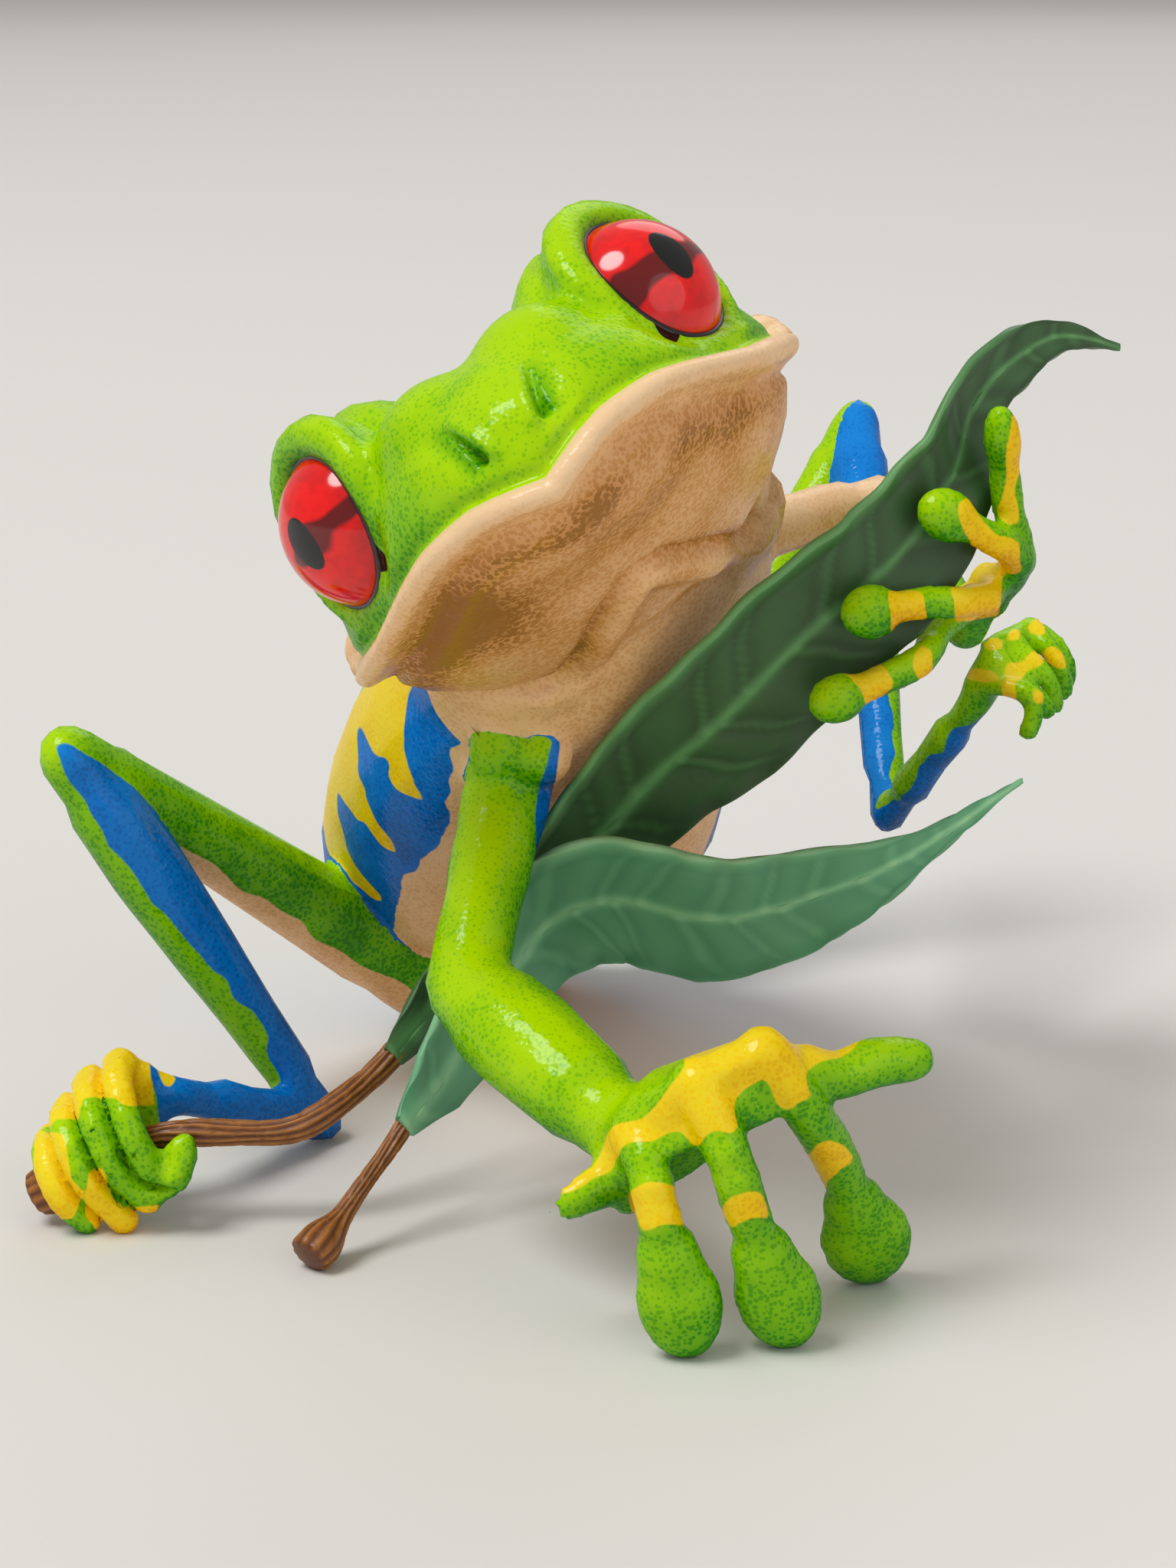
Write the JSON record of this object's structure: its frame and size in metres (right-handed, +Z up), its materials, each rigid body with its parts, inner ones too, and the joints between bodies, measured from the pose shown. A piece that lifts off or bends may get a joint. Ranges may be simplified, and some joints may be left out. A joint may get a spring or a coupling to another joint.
{
  "type": "red-eyed tree frog model",
  "caption": "Life-size still model of a red-eyed tree frog leaning back, one hand on the ground, holding a leafy stem between a hind foot and the other hand.",
  "frame": {"origin": "middle of the base: the floor under the centre of the bounding box", "axes": "+Z up; the frog faces -Y, so +Y runs from its hand to its raised knee and is the longest side; +X is the viewer's right"},
  "size_m": [0.0496, 0.0608, 0.045],
  "materials": {
    "green_skin": "moist, lime green, finely mottled",
    "blue_skin": "moist, cobalt blue",
    "flank_skin": "moist, tan belly, blue flank with yellow bars, green back",
    "pale_skin": "moist, tan",
    "eye": "wet, glossy red with a black pupil",
    "dark_leaf": "satin leaf, dark green",
    "pale_leaf": "satin leaf, grey green",
    "bark": "dry brown bark"
  },
  "bodies": {
    "root": {"head": "green_skin", "torso": "flank_skin", "eye_left": "eye", "eye_right": "eye", "upper_arm_left": "pale_skin", "forearm_left": "green_skin", "hand_left": "green_skin", "upper_arm_right": "green_skin", "forearm_right": "green_skin", "hand_right": "green_skin", "thigh_left": "green_skin", "shank_left": "blue_skin", "tarsus_left": "blue_skin", "foot_left": "green_skin", "thigh_right": "green_skin", "shank_right": "blue_skin", "tarsus_right": "blue_skin", "foot_right": "green_skin", "leaf_large_blade": "dark_leaf", "leaf_large_stem": "bark", "leaf_small_blade": "pale_leaf", "leaf_small_stem": "bark"}
  },
  "joints": []
}
